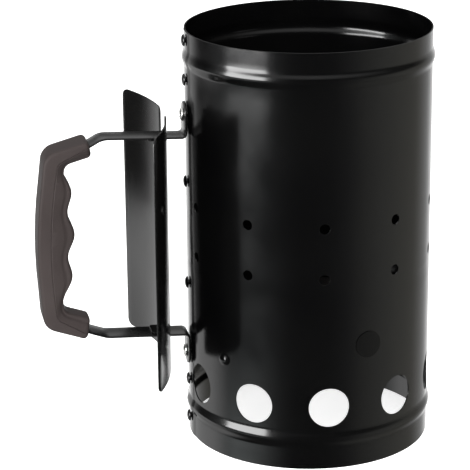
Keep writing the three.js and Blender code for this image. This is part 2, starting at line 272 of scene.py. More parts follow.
def cut_with(piece, cutters):
    """Cuts each cutter out of the piece and applies it, so the cutters can go."""
    for cutter in cutters:
        cut = piece.modifiers.new("cut", "BOOLEAN")
        cut.operation = "DIFFERENCE"
        cut.solver = "EXACT"
        cut.object = cutter
    bpy.context.view_layer.update()
    graph = bpy.context.evaluated_depsgraph_get()
    result = bpy.data.meshes.new_from_object(piece.evaluated_get(graph))
    piece.modifiers.clear()
    piece.data = result
    for cutter in cutters:
        bpy.data.objects.remove(cutter)
    result.polygons.foreach_set("use_smooth", [True] * len(result.polygons))
    result.set_sharp_from_angle(angle=math.radians(35))


def new_cutter(mesh):
    cutter = bpy.data.objects.new("cutter", mesh)
    bpy.context.scene.collection.objects.link(cutter)
    return cutter


def placed_mesh(name, points, faces, place):
    """A mesh of points in millimetres, moved to its place."""
    mesh = bpy.data.meshes.new(name)
    mesh.from_pydata([tuple(length * MM for length in point) for point in points], [], faces)
    mesh.transform(place)
    return mesh


def outward_frame(turn, level):
    """Turns a shape that points along +Z so that it points out of the barrel."""
    place = Matrix.Translation((AXIS_X * MM, 0, level * MM))
    return place @ Matrix.Rotation(math.radians(turn), 4, "Z") @ Matrix.Rotation(math.pi / 2, 4, "X")


def turned_points(profile, sides):
    """Rings of a profile of (radius, height), closed to a point where the radius is 0."""
    points, faces, rings = [], [], []
    for radius, height in profile:
        count = 1 if radius == 0 else sides
        rings.append(range(len(points), len(points) + count))
        for k in range(count):
            angle = TURN * k / sides
            points.append((radius * math.cos(angle), radius * math.sin(angle), height))
    for a, b in zip(rings, rings[1:]):
        for k in range(sides):
            quad = [a[k % len(a)], a[(k + 1) % len(a)], b[(k + 1) % len(b)], b[k % len(b)]]
            face = list(dict.fromkeys(quad))
            if len(face) > 2:
                faces.append(face)
    return points, faces


def turned_mesh(name, profile, sides, place):
    points, faces = turned_points(profile, sides)
    mesh = placed_mesh(name, points, faces, place)
    face_outward(mesh)
    return mesh


def turned_cutter(profile, sides, place):
    return new_cutter(turned_mesh("cutter", profile, sides, place))


def rod_profile(radius, start, end):
    return [(0, start), (radius, start), (radius, end), (0, end)]


def dome(radius, height, seat, shank):
    """A round head on a shank, from the shank outward."""
    crown = []
    for k in range(9):
        angle = math.pi / 2 * k / 8
        crown.append((radius * math.cos(angle), seat + height * (0.2 + 0.8 * math.sin(angle))))
    crown[-1] = (0, seat + height)
    return [(shank, seat), (radius * 0.97, seat), (radius, seat + height * 0.08)] + crown


# -------------------------------- materials
def principled(name):
    material = bpy.data.materials.new(name)
    material.use_nodes = True
    nodes = material.node_tree.nodes
    return material, nodes, material.node_tree.links, nodes["Principled BSDF"]


def object_noise(nodes, links, scale, detail=4.0, stretch=(1, 1, 1)):
    place = nodes.new("ShaderNodeTexCoord")
    size = nodes.new("ShaderNodeMapping")
    size.inputs["Scale"].default_value = stretch
    noise = nodes.new("ShaderNodeTexNoise")
    noise.inputs["Scale"].default_value = scale
    noise.inputs["Detail"].default_value = detail
    links.new(place.outputs["Object"], size.inputs["Vector"])
    links.new(size.outputs["Vector"], noise.inputs["Vector"])
    return noise.outputs["Fac"]


def spread(nodes, links, value, low_out, high_out, low_in=0.3, high_in=0.7):
    mapped = nodes.new("ShaderNodeMapRange")
    mapped.inputs["From Min"].default_value = low_in
    mapped.inputs["From Max"].default_value = high_in
    mapped.inputs["To Min"].default_value = low_out
    mapped.inputs["To Max"].default_value = high_out
    links.new(value, mapped.inputs["Value"])
    return mapped.outputs["Result"]


def two_colours(nodes, links, factor, first, second):
    mix = nodes.new("ShaderNodeMix")
    mix.data_type = "RGBA"
    mix.inputs["A"].default_value = (*first, 1)
    mix.inputs["B"].default_value = (*second, 1)
    links.new(factor, mix.inputs["Factor"])
    return mix.outputs["Result"]


def bumped(nodes, links, shader, heights):
    """Adds bumps of (height value, strength, depth in millimetres), one on the other."""
    normal = None
    for height, strength, depth in heights:
        bump = nodes.new("ShaderNodeBump")
        bump.inputs["Strength"].default_value = strength
        bump.inputs["Distance"].default_value = depth * MM
        links.new(height, bump.inputs["Height"])
        if normal is not None:
            links.new(normal, bump.inputs["Normal"])
        normal = bump.outputs["Normal"]
    links.new(normal, shader.inputs["Normal"])


def black_enamel(name, dark, light, roughness, ripple):
    """Baked black enamel: faint orange peel, broad ripples in the sheet, rubbed flecks."""
    material, nodes, links, shader = principled(name)
    cloud = object_noise(nodes, links, 14, 3)
    flecks = object_noise(nodes, links, 900, 2)
    fleck = spread(nodes, links, flecks, 0, 0.35, 0.66, 0.74)
    base = two_colours(nodes, links, spread(nodes, links, cloud, 0, 1), dark, light)
    mix = nodes.new("ShaderNodeMix")
    mix.data_type = "RGBA"
    mix.inputs["B"].default_value = (0.006, 0.006, 0.0055, 1)
    links.new(fleck, mix.inputs["Factor"])
    links.new(base, mix.inputs["A"])
    links.new(mix.outputs["Result"], shader.inputs["Base Color"])
    rough = spread(nodes, links, object_noise(nodes, links, 30, 5), roughness - 0.04, roughness + 0.05)
    links.new(rough, shader.inputs["Roughness"])
    peel = object_noise(nodes, links, 1400, 2)
    wave = object_noise(nodes, links, 22, 2, (1, 1, 0.45))
    bumped(nodes, links, shader, [(wave, 0.5, ripple), (peel, 0.12, 0.03)])
    return material


def bright_steel():
    material, nodes, links, shader = principled("bright_zinc")
    shader.inputs["Metallic"].default_value = 1.0
    cloud = object_noise(nodes, links, 250, 4)
    share = spread(nodes, links, cloud, 0, 1)
    colour = two_colours(nodes, links, share, (0.62, 0.62, 0.6), (0.8, 0.8, 0.78))
    links.new(colour, shader.inputs["Base Color"])
    links.new(spread(nodes, links, cloud, 0.16, 0.32), shader.inputs["Roughness"])
    bumped(nodes, links, shader, [(object_noise(nodes, links, 2200, 3), 0.15, 0.02)])
    return material


def plain_steel():
    """Mill steel with rolling lines and heat-tinted patches."""
    material, nodes, links, shader = principled("mill_steel")
    shader.inputs["Metallic"].default_value = 0.9
    cloud = object_noise(nodes, links, 40, 5)
    share = spread(nodes, links, cloud, 0, 1)
    colour = two_colours(nodes, links, share, (0.06, 0.058, 0.054), (0.12, 0.116, 0.11))
    links.new(colour, shader.inputs["Base Color"])
    links.new(spread(nodes, links, cloud, 0.36, 0.56), shader.inputs["Roughness"])
    lines = object_noise(nodes, links, 500, 3, (1, 0.03, 1))
    bumped(nodes, links, shader, [(lines, 0.2, 0.03)])
    return material


def brown_plastic():
    """Dark brown moulded plastic with a fine spark-eroded grain."""
    material, nodes, links, shader = principled("grip_plastic")
    cloud = object_noise(nodes, links, 35, 4)
    share = spread(nodes, links, cloud, 0, 1)
    colour = two_colours(nodes, links, share, (0.029, 0.0235, 0.0228), (0.036, 0.0295, 0.0285))
    links.new(colour, shader.inputs["Base Color"])
    shader.inputs["Specular IOR Level"].default_value = 0.06
    links.new(spread(nodes, links, cloud, 0.46, 0.58), shader.inputs["Roughness"])
    bumped(nodes, links, shader, [(object_noise(nodes, links, 1800, 4), 0.25, 0.05)])
    return material


def label_film():
    material, nodes, links, shader = principled("label_film")
    cloud = object_noise(nodes, links, 120, 3)
    share = spread(nodes, links, cloud, 0, 1)
    colour = two_colours(nodes, links, share, (0.001, 0.001, 0.001), (0.0016, 0.0016, 0.0016))
    links.new(colour, shader.inputs["Base Color"])
    shader.inputs["Specular IOR Level"].default_value = 0.3
    links.new(spread(nodes, links, cloud, 0.3, 0.4), shader.inputs["Roughness"])
    bumped(nodes, links, shader, [(object_noise(nodes, links, 2500, 2), 0.1, 0.02)])
    return material


# -------------------------------- barrel
def bead_bulge(level):
    bulge = 0.0
    for bead in BEAD_LEVELS:
        across = abs(level - bead) / BEAD_HALF_WIDTH
        if across < 1:
            bulge += BEAD_HEIGHT * (1 + math.cos(math.pi * across)) / 2
    return bulge


def lap_lift(angle):
    """The second layer of sheet: a plain cut edge on one side, a soft joggle on the other."""
    off = (angle + math.pi / 2 + math.pi) % TURN - math.pi
    if off > LAP_HALF_ANGLE or off < -LAP_HALF_ANGLE - LAP_RAMP:
        return 0.0
    if off >= -LAP_HALF_ANGLE:
        return LAP_LIFT
    ease = (off + LAP_HALF_ANGLE + LAP_RAMP) / LAP_RAMP
    return LAP_LIFT * ease * ease * (3 - 2 * ease)


def wall_point(angle, level, inside):
    bulge = bead_bulge(level)
    out = BARREL_RADIUS + bulge - SHEET if inside else BARREL_RADIUS + bulge + lap_lift(angle)
    return (out * math.sin(angle), -out * math.cos(angle), level)


def hole_patch(work, row, column, inside, store):
    """A band of the wall round one hole, from the hole's rim out to the patch's edges."""
    centre_level, radius, first_turn, foot, head = row
    half_angle = math.pi / HOLES_PER_ROW
    middle = math.radians(first_turn) + column * 2 * half_angle
    edge = []
    for k in range(STEPS_ACROSS):
        edge.append((-half_angle + 2 * half_angle * k / STEPS_ACROSS, foot))
    for k in range(STEPS_UP):
        edge.append((half_angle, foot + (head - foot) * k / STEPS_UP))
    for k in range(STEPS_ACROSS):
        edge.append((half_angle - 2 * half_angle * k / STEPS_ACROSS, head))
    for k in range(STEPS_UP):
        edge.append((-half_angle, head - (head - foot) * k / STEPS_UP))
    rings = []
    for layer in range(PATCH_LAYERS + 1):
        share = (layer / PATCH_LAYERS) ** 1.6
        ring = []
        for offset, level in edge:
            toward = math.atan2(level - centre_level, offset * BARREL_RADIUS)
            rim_offset = radius * math.cos(toward) / BARREL_RADIUS
            rim_level = centre_level + radius * math.sin(toward)
            at = middle + rim_offset + (offset - rim_offset) * share
            ring.append(store(work, at, rim_level + (level - rim_level) * share, inside))
        rings.append(ring)
    count = len(edge)
    for near, far in zip(rings, rings[1:]):
        for k in range(count):
            quad = (near[k], near[(k + 1) % count], far[(k + 1) % count], far[k])
            if len(set(quad)) == 4:
                work.faces.new(quad)
    return rings[0]


def wall_ring(work, level, first_turn, inside, store):
    """A ring of points at one level, in step with the hole row that starts at this turn."""
    start = math.radians(first_turn) - math.pi / HOLES_PER_ROW
    count = STEPS_ACROSS * HOLES_PER_ROW
    return [store(work, start + TURN * k / count, level, inside) for k in range(count)]


def ring_levels(foot, head, spacing):
    """Even levels, with closer ones across any bead."""
    levels = {foot, head}
    for k in range(1, max(1, round((head - foot) / spacing))):
        levels.add(foot + (head - foot) * k / round((head - foot) / spacing))
    for bead in BEAD_LEVELS:
        for k in range(-12, 13):
            level = bead + BEAD_HALF_WIDTH * k / 12
            if foot < level < head:
                levels.add(level)
    ordered = []
    for level in sorted(levels):
        if not ordered or level - ordered[-1] > 0.2 or level == head:
            ordered.append(level)
    return ordered


def make_barrel(material):
    work = bmesh.new()
    known = {}

    def store(target, angle, level, inside):
        turn = angle % TURN
        key = (round(turn * 1e6) % round(TURN * 1e6), round(level * 1e4), inside)
        if key not in known:
            x, y, z = wall_point(turn, level, inside)
            known[key] = target.verts.new(((x + AXIS_X) * MM, y * MM, z * MM))
        return known[key]

    rows = (AIR_ROW, *VENT_ROWS)
    rim_rings = {}
    for inside in (False, True):
        for row in rows:
            for column in range(HOLES_PER_ROW):
                rim_rings[row, column, inside] = hole_patch(work, row, column, inside, store)
        spans = []
        foot, turn = 0.0, rows[0][2]
        for row in rows:
            spans.append((foot, row[3], turn, row[2]))
            foot, turn = row[4], row[2]
        spans.append((foot, BARREL_HEIGHT, turn, turn))
        for foot, head, foot_turn, head_turn in spans:
            levels = ring_levels(foot, head, 8.0)
            previous = wall_ring(work, levels[0], foot_turn, inside, store)
            for level in levels[1:]:
                # The turn changes in the last step only, where the next hole row begins.
                turn = head_turn if level == levels[-1] else foot_turn
                ring = wall_ring(work, level, turn, inside, store)
                bridge(work, previous, ring)
                previous = ring
    for row in rows:
        for column in range(HOLES_PER_ROW):
            bridge(work, rim_rings[row, column, False], rim_rings[row, column, True])
    for level, turn in ((0.0, rows[0][2]), (BARREL_HEIGHT, rows[-1][2])):
        outer = wall_ring(work, level, turn, False, store)
        inner = wall_ring(work, level, turn, True, store)
        bridge(work, outer, inner)
    piece = new_piece("barrel_shell", mesh_of("barrel_shell", work), material, ["barrel"])
    soften_edges(piece, 0.22)


def bridge(work, first, second):
    for face in ring_faces(first, second):
        work.faces.new(face)


# -------------------------------- handle
def spine_out(offset, inset):
    """The grip's outer curve, or a line inset from it, at a height from mid-grip."""
    return SPINE_REACH - inset - offset * offset / (2 * SPINE_RADIUS)


def leaned(corner):
    """A corner of the upright grip, (out, height from mid-grip, radius), leaned into place."""
    out, height, radius = corner
    across = out - LEAN_PIVOT
    along, aside = math.cos(GRIP_LEAN), math.sin(GRIP_LEAN)
    return (LEAN_PIVOT + across * along - height * aside, GRIP_MID + height * along + across * aside, radius)


def leaned_frame(level):
    """Turns a shape that points along +Z so that it points outward and leans with the grip."""
    pivot = Vector((AXIS_X - LEAN_PIVOT, 0, GRIP_MID)) * MM
    lean = Matrix.Translation(pivot) @ Matrix.Rotation(GRIP_LEAN, 4, "Y") @ Matrix.Translation(-pivot)
    return lean @ outward_frame(-90, level)


def smooth_line(corners):
    """Rounds a line of (out, level, radius) corners into points."""
    line = []
    for k, (out, level, radius) in enumerate(corners):
        here = Vector((out, level))
        if radius == 0 or k in (0, len(corners) - 1):
            line.append(here)
            continue
        back = (Vector(corners[k - 1][:2]) - here).normalized()
        ahead = (Vector(corners[k + 1][:2]) - here).normalized()
        half = math.acos(max(-1.0, min(1.0, back.dot(ahead)))) / 2
        if half > math.radians(89):
            line.append(here)
            continue
        centre = here + (back + ahead).normalized() * (radius / math.sin(half))
        start = here + back * (radius / math.tan(half)) - centre
        end = here + ahead * (radius / math.tan(half)) - centre
        sweep = math.atan2(start.x * end.y - start.y * end.x, start.dot(end))
        for step in range(9):
            angle = sweep * step / 8
            turned = Matrix.Rotation(angle, 2) @ start
            line.append(centre + turned)
    return line


def points_along(line, shares):
    """The points of a line at growing shares of its length."""
    lengths = [0.0]
    for a, b in zip(line, line[1:]):
        lengths.append(lengths[-1] + (b - a).length)
    points, k = [], 0
    for share in shares:
        want = lengths[-1] * share
        while k < len(line) - 2 and lengths[k + 1] < want:
            k += 1
        span = lengths[k + 1] - lengths[k]
        points.append(line[k].lerp(line[k + 1], 0 if span == 0 else (want - lengths[k]) / span))
    return points


def resampled(line, count):
    """Evenly spaced points along a line."""
    return points_along(line, [step / count for step in range(count + 1)])


def strap_corners(side):
    """The strap's centre line from the tab's end to the middle of the grip."""
    level = STRAP_MID + side * STRAP_HALF_SPAN
    inset = SPINE_SHELL + GAP + STRAP_THICK / 2
    tab_out = LAP_RADIUS + GAP + STRAP_THICK / 2
    exit_out, exit_height = STRAP_EXIT
    in_grip = [(exit_out, side * exit_height, 12)]
    for height, radius in ((53.5, 6), (40, 40), (20, 40)):
        in_grip.append((spine_out(height, inset), side * height, radius))
    on_barrel = [(tab_out, level + side * TAB_LENGTH, 0), (tab_out, level, 3)]
    return on_barrel + [(LEG_END, level + HANDLE_RISE, 14)] + [leaned(corner) for corner in in_grip]


def square_to(line, k):
    """The direction square to a line at one of its points."""
    along = (line[min(k + 1, len(line) - 1)] - line[max(k - 1, 0)]).normalized()
    return Vector((-along.y, along.x))


def strap_section(half_width, half_thick):
    """A flat bar's section with drawn, rounded edges: (across, lift)."""
    section = []
    for centre, first in ((half_width - half_thick, -90), (-half_width + half_thick, 90)):
        for k in range(7):
            angle = math.radians(first + 30 * k)
            section.append((centre + half_thick * math.cos(angle), half_thick * math.sin(angle)))
    return section


def make_strap(material):
    line = resampled(smooth_line(strap_corners(1) + strap_corners(-1)[::-1]), 300)
    half_thick = STRAP_THICK / 2
    ends = [line[0], line[-1]]
    points, faces, rings = [], [], []
    tip_radius = STRAP_WIDTH / 2 - 0.5
    for k, here in enumerate(line):
        square = square_to(line, k)
        near_end = min((here - end).length for end in ends)
        in_tip = max(0.0, tip_radius - near_end)
        narrowed = tip_radius - math.sqrt(max(0.0, tip_radius**2 - in_tip**2))
        half_width = max(STRAP_WIDTH / 2 - narrowed, 1.2)
        ring = []
        for across, lift in strap_section(half_width, half_thick):
            place = here + square * lift
            ring.append(len(points))
            points.append((-place.x, across, place.y))
        rings.append(ring)
    for a, b in zip(rings, rings[1:]):
        faces += ring_faces(a, b)
    faces += [rings[0], rings[-1]]
    mesh = mesh_from("strap_bar", points, faces)
    new_piece("strap_bar", mesh, material, ["handle_strap"])


# -------------------------------- grip
def finger_out(offset):
    wave = FINGER_DEPTH / 2 * (1 - math.cos(TURN * (offset - FINGER_CENTRE) / FINGER_PITCH))
    return FINGER_NEAREST + wave + 0.002 * offset * offset


def there_and_back(half, middle, lower_rise=0.0):
    """The upper half of a line, its middle, and the mirrored lower half, leaned and rounded."""
    lower = [(out, lower_rise - height, radius) for out, height, radius in half[::-1]]
    return smooth_line([leaned(corner) for corner in half + middle + lower])


def outer_line():
    """The grip's outer edge, from the top arm's end to the bottom arm's end."""
    half = [(*ARM_END_OUTER, 0), SPINE_CORNER]
    half += [(spine_out(height, 0), height, 0) for height in (40, 24, 12)]
    return there_and_back(half, [(SPINE_REACH, 0, 0)])


def parting_line(inset):
    """The line where the grip's halves meet, or one beside it."""
    drop = inset - SPINE_SHELL
    start = Vector((PARTING_END[0], PARTING_END[1] - drop))
    corner = Vector((spine_out(PARTING_CORNER_HEIGHT, inset), PARTING_CORNER_HEIGHT - drop))
    at_end = intersect_line_line_2d(start, corner, Vector(ARM_END_OUTER), Vector(ARM_END_INNER))
    half = [(*at_end, 0), (*corner, 5)]
    half += [(spine_out(height, inset), height, 0) for height in (40, 24, 12)]
    return there_and_back(half, [(spine_out(0, inset), 0, 0)])


def inner_line():
    """The grip's finger side, from the top arm's end to the bottom arm's end."""
    steps = 72
    fingers = []
    for k in range(steps + 1):
        height = FINGER_TOP + (FINGER_FOOT - FINGER_TOP) * k / steps
        fingers.append((finger_out(height), height, 0))
    return there_and_back([(*ARM_END_INNER, 0), PALM_CORNER], fingers, LOWER_ARM_RISE)


def ladder(first, second, count):
    """Matching points on two lines, by share of their length, closer together at both ends."""
    tip = 0.019
    ends = [tip * (1 - math.cos(math.pi / 2 * k / 6)) for k in range(6)]
    shares = ends + [tip + (1 - 2 * tip) * k / count for k in range(count + 1)]
    shares += [1 - share for share in ends[::-1]]
    return list(zip(points_along(first, shares), points_along(second, shares)))


def loft_between(name, rungs, section):
    """A body between two lines: each rung carries a section of (share across, half width)."""
    middles = [near.lerp(far, 0.5) for near, far in rungs]
    travelled = [0.0]
    for a, b in zip(middles, middles[1:]):
        travelled.append(travelled[-1] + (b - a).length)
    points, faces, rings = [], [], []
    for (near, far), run in zip(rungs, travelled):
        # Both ends are rounded over, like the moulding's long edges.
        inside = min(run, travelled[-1] - run, END_ROUND)
        trim = END_ROUND - math.sqrt(max(0.0, END_ROUND**2 - (END_ROUND - inside) ** 2))
        reach = 1 - trim / (far - near).length
        ring = []
        for share, half_width in section:
            place = near.lerp(far, share * reach)
            ring.append(len(points))
            points.append((-place.x, max(half_width - trim, 0), place.y))
        for share, half_width in section[::-1]:
            if half_width == 0:
                continue
            place = near.lerp(far, share * reach)
            ring.append(len(points))
            points.append((-place.x, -max(half_width - trim, 0), place.y))
        rings.append(ring)
    for a, b in zip(rings, rings[1:]):
        faces += ring_faces(a, b)
    faces += [rings[0], rings[-1]]
    return mesh_from(name, points, faces)


def quarter_round(share, half_width, drop, steps=8):
    """Section points from a flat side round to the end of the section."""
    section = []
    for k in range(1, steps + 1):
        angle = math.pi / 2 * k / steps
        section.append((share + (1 - share) * math.sin(angle), half_width - drop * (1 - math.cos(angle))))
    return section + [(1.0, 0)]


def make_grip(material):
    width = GRIP_HALF_WIDTH
    side = width - 0.3
    spine_section = [(0, side - 0.3), (0.03, side - 0.05), (0.06, side), (0.72, side)]
    spine_section += quarter_round(0.72, side, 2.4)
    spine_rungs = ladder(parting_line(SPINE_SHELL), outer_line(), 150)
    spine_mesh = loft_between("grip_spine", spine_rungs, spine_section)
    outer = new_piece("grip_spine", spine_mesh, material, ["grip_outer_shell"])
    finger_section = [(0, width - 0.5), (0.02, width - 0.15), (0.05, width), (0.3, width - 1.2)]
    finger_section += [(0.5, width - 2.2), (0.57, width - 2.7), (0.65, width - 3.8), (0.71, width - 4.1)]
    finger_section += [(0.8, width - 4.2)] + quarter_round(0.8, width - 4.2, 3.6)
    finger_rungs = ladder(parting_line(SPINE_SHELL + PARTING_GAP), inner_line(), 190)
    finger_mesh = loft_between("grip_fingers", finger_rungs, finger_section)
    inner = new_piece("grip_fingers", finger_mesh, material, ["grip_inner_shell"])
    cutters = [strap_channel()]
    for sign in (1, -1):
        place = leaned_frame(GRIP_MID + sign * GRIP_SCREW_OFFSET)
        cutters.append(turned_cutter(rod_profile(WELL_RADIUS, WELL_MOUTH, WELL_FLOOR), 40, place))
    cut_with(inner, cutters)
    for piece in (outer, inner):
        soften_edges(piece, 0.15, 2)


def strap_channel():
    """The slot that the strap lies in between the grip's halves."""
    line = resampled(smooth_line(strap_corners(1)[2:] + strap_corners(-1)[:1:-1]), 80)
    half_width, half_thick = STRAP_WIDTH / 2 + GAP, STRAP_THICK / 2 + GAP
    points, faces, rings = [], [], []
    for k, here in enumerate(line):
        square = square_to(line, k)
        ring = []
        for across, lift in ((-1, -1), (1, -1), (1, 1), (-1, 1)):
            place = here + square * (lift * half_thick)
            ring.append(len(points))
            points.append((-place.x, across * half_width, place.y))
        rings.append(ring)
    for a, b in zip(rings, rings[1:]):
        faces += ring_faces(a, b)
    faces += [rings[0], rings[-1]]
    return new_cutter(mesh_from("cutter", points, faces))


# -------------------------------- heat shield
def shield_out(across):
    return SHIELD_NEAREST + SHIELD_BOW - math.sqrt(SHIELD_BOW**2 - across**2)


def strap_at_shield(side):
    along = (SHIELD_NEAREST - LAP_RADIUS) / (LEG_END - LAP_RADIUS)
    return STRAP_MID + side * STRAP_HALF_SPAN + HANDLE_RISE * along


def shield_outline():
    """The flat sheet before bending, (across, level, corner radius), with its two notches."""
    wide, notch = SHIELD_HALF_WIDTH, NOTCH_HALF_WIDTH
    foot, head = STRAP_MID - SHIELD_HEIGHT / 2, STRAP_MID + SHIELD_HEIGHT / 2
    clear = STRAP_THICK / 2 + GAP
    top_floor = strap_at_shield(1) - clear
    bottom_floor = strap_at_shield(-1) + clear
    corners = [
        (-wide, foot, 5), (-notch, foot, 3.5), (-notch, bottom_floor, 1), (notch, bottom_floor, 1),
        (notch, foot, 3.5), (wide, foot, 5), (wide, head, 5), (notch, head, 3.5),
        (notch, top_floor, 1), (-notch, top_floor, 1), (-notch, head, 3.5), (-wide, head, 5),
    ]
    closed = smooth_line([corners[-1], *corners, corners[0]])
    return closed[1:-1]


def make_shield(material):
    work = bmesh.new()
    outline = [work.verts.new((p.x * MM, 0, p.y * MM)) for p in shield_outline()]
    work.faces.new(outline)
    for k in range(-44, 45):
        across = SHIELD_HALF_WIDTH * k / 45
        geometry = work.verts[:] + work.edges[:] + work.faces[:]
        bmesh.ops.bisect_plane(work, geom=geometry, plane_co=(across * MM, 0, 0), plane_no=(1, 0, 0))
    middle = SHIELD_THICK / 2
    for vert in work.verts:
        across, level = vert.co.x / MM, vert.co.z / MM
        out = shield_out(across) + middle
        vert.co = ((AXIS_X - out) * MM, across * MM, level * MM)
    mesh = mesh_of("shield_sheet", work)
    piece = new_piece("shield_sheet", mesh, material, ["heat_shield"])
    thicken(piece, SHIELD_THICK)
    soften_edges(piece, 0.3)
    for side, name in ((1, "shield_flap_upper"), (-1, "shield_flap_lower")):
        make_flap(name, side, material)


def make_flap(name, side, material):
    """The sheet from the notch, folded toward the hand to lie against the strap."""
    slope = HANDLE_RISE / (LEG_END - LAP_RADIUS)
    clear = strap_at_shield(side) - side * (STRAP_THICK / 2 + GAP + SHIELD_THICK / 2)
    section, count = [], 12
    for k in range(count + 1):
        out = SHIELD_NEAREST + 0.6 + (FLAP_LENGTH - 0.6) * k / count
        fold = 0.9 * max(0.0, 1 - k / 2) ** 2
        section.append((out, clear + slope * (out - SHIELD_NEAREST) - side * fold))
    half = STRAP_WIDTH / 2 - 1
    points, faces = [], []
    for k, (out, level) in enumerate(section):
        trim = 2.0 * max(0.0, 1 - (count - k) / 2) ** 2
        for y in (-half + trim, 0, half - trim):
            points.append((-out, y, level))
    for k in range(count):
        for j in range(2):
            a = k * 3 + j
            faces.append((a, a + 1, a + 4, a + 3))
    piece = plain_piece(name, mesh_from(name, points, faces), material)
    thicken(piece, SHIELD_THICK)
    soften_edges(piece, 0.2)


# -------------------------------- grate
def grate_hole_places():
    row_step = GRATE_HOLE_PITCH * math.sqrt(3) / 2
    places = []
    for j in range(-4, 5):
        for i in range(-4, 5):
            x = (i + (abs(j) % 2) / 2) * GRATE_HOLE_PITCH
            y = j * row_step
            if math.hypot(x, y) < GRATE_RADIUS - 15:
                places.append((x, y))
    return places


def circle_edges(work, x, y, radius, sides, level):
    ring = []
    for k in range(sides):
        angle = TURN * k / sides
        place = (x + AXIS_X + radius * math.cos(angle), y + radius * math.sin(angle), level)
        ring.append(work.verts.new(Vector(place) * MM))
    return [work.edges.new((ring[k], ring[(k + 1) % sides])) for k in range(sides)]


def make_grate(material):
    work = bmesh.new()
    middle = GRATE_LEVEL + GRATE_THICK / 2
    edges = circle_edges(work, 0, 0, GRATE_RADIUS, 160, middle)
    for x, y in grate_hole_places():
        edges += circle_edges(work, x, y, GRATE_HOLE_RADIUS, 32, middle)
    bmesh.ops.triangle_fill(work, edges=edges, use_beauty=True)
    piece = new_piece("grate_disc", mesh_of("grate_disc", work), material, ["charcoal_grate"])
    thicken(piece, GRATE_THICK)
    soften_edges(piece, 0.35)
    for k, turn in enumerate(GRATE_SCREW_TURNS):
        make_grate_tab(f"grate_tab_{k + 1}", turn, material)


def make_grate_tab(name, turn, material):
    """A tab turned down from the disc's edge, with a rounded foot."""
    half, foot = 7.0, GRATE_TAB_FOOT
    corners = [(-half, foot, 3), (half, foot, 3), (half, GRATE_LEVEL + 0.4, 0), (-half, GRATE_LEVEL + 0.4, 0)]
    outline = smooth_line([corners[-1], *corners, corners[0]])[1:-1]
    work = bmesh.new()
    work.faces.new([work.verts.new((p.x * MM, 0, p.y * MM)) for p in outline])
    bmesh.ops.translate(work, verts=work.verts, vec=(0, -(GRATE_RADIUS - 0.75) * MM, 0))
    bmesh.ops.rotate(work, verts=work.verts, matrix=Matrix.Rotation(math.radians(turn), 3, "Z"))
    bmesh.ops.translate(work, verts=work.verts, vec=(AXIS_X * MM, 0, 0))
    piece = plain_piece(name, mesh_of(name, work), material)
    thicken(piece, GRATE_TAB_THICK)
    soften_edges(piece, 0.3)


# -------------------------------- fasteners and label
def make_rivets(material):
    for k, level in enumerate(SEAM_RIVET_LEVELS):
        seat, tail = LAP_RADIUS + GAP, BARREL_RADIUS - SHEET - GAP - 0.1
        profile = [(0, tail - 1.2), (2.4, tail - 1.2), (3, tail - 0.8), (3, tail), (1.8, tail)]
        profile += dome(4, 2, seat, 1.8)
        name = f"seam_rivet_head_{k + 1}"
        mesh = turned_mesh(name, profile, 48, outward_frame(-90, level))
        new_piece(name, mesh, material, [f"seam_rivet_{k + 1}"])


def make_screw(name, node, turn, level, head, height, seat, shank, tip, material, recessed):
    profile = [(0, tip), (shank * 0.7, tip), (shank, tip + 0.8), *dome(head, height, seat, shank)]
    place = outward_frame(turn, level)
    piece = new_piece(name, turned_mesh(name, profile, 64, place), material, [node])
    if recessed:
        cutters = [cross_cutter(place, seat + height, angle) for angle in (0, 90)]
        cut_with(piece, cutters)
        soften_edges(piece, 0.12, 2, 40)


def cross_cutter(place, top, angle):
    """One tapered wing of a cross recess."""
    points = []
    for z, long, wide in ((top - 1.2, 0.9, 0.35), (top + 1.0, 2.6, 0.55)):
        points += [(-long, -wide, z), (long, -wide, z), (long, wide, z), (-long, wide, z)]
    faces = [(0, 3, 2, 1), (4, 5, 6, 7), (0, 1, 5, 4), (1, 2, 6, 5), (2, 3, 7, 6), (3, 0, 4, 7)]
    turned = place @ Matrix.Rotation(math.radians(angle), 4, "Z")
    return new_cutter(placed_mesh("cutter", points, faces, turned))


def make_nut(name, node, turn, level, face, material):
    """A hexagon nut with chamfered corners and a bored middle."""
    place = outward_frame(turn, level)
    points, faces = [], []
    bore, flat_radius = 2.3, 4.0
    rings = ((bore, face - 3), (bore, face), (3.5, face), (flat_radius, face - 0.4),
             (flat_radius, face - 2.6), (3.5, face - 3))
    sides = 48
    for radius, height in rings:
        for k in range(sides):
            angle = TURN * k / sides
            hexagon = flat_radius * math.cos(math.pi / 6) / math.cos((angle % (TURN / 6)) - TURN / 12)
            reach = min(radius, hexagon) if radius > bore else radius
            points.append((reach * math.cos(angle), reach * math.sin(angle), height))
    for ring in range(len(rings)):
        start, ahead = ring * sides, (ring + 1) % len(rings) * sides
        faces += ring_faces(range(start, start + sides), range(ahead, ahead + sides))
    mesh = placed_mesh(name, points, faces, place)
    face_outward(mesh)
    new_piece(name, mesh, material, [node], 25)


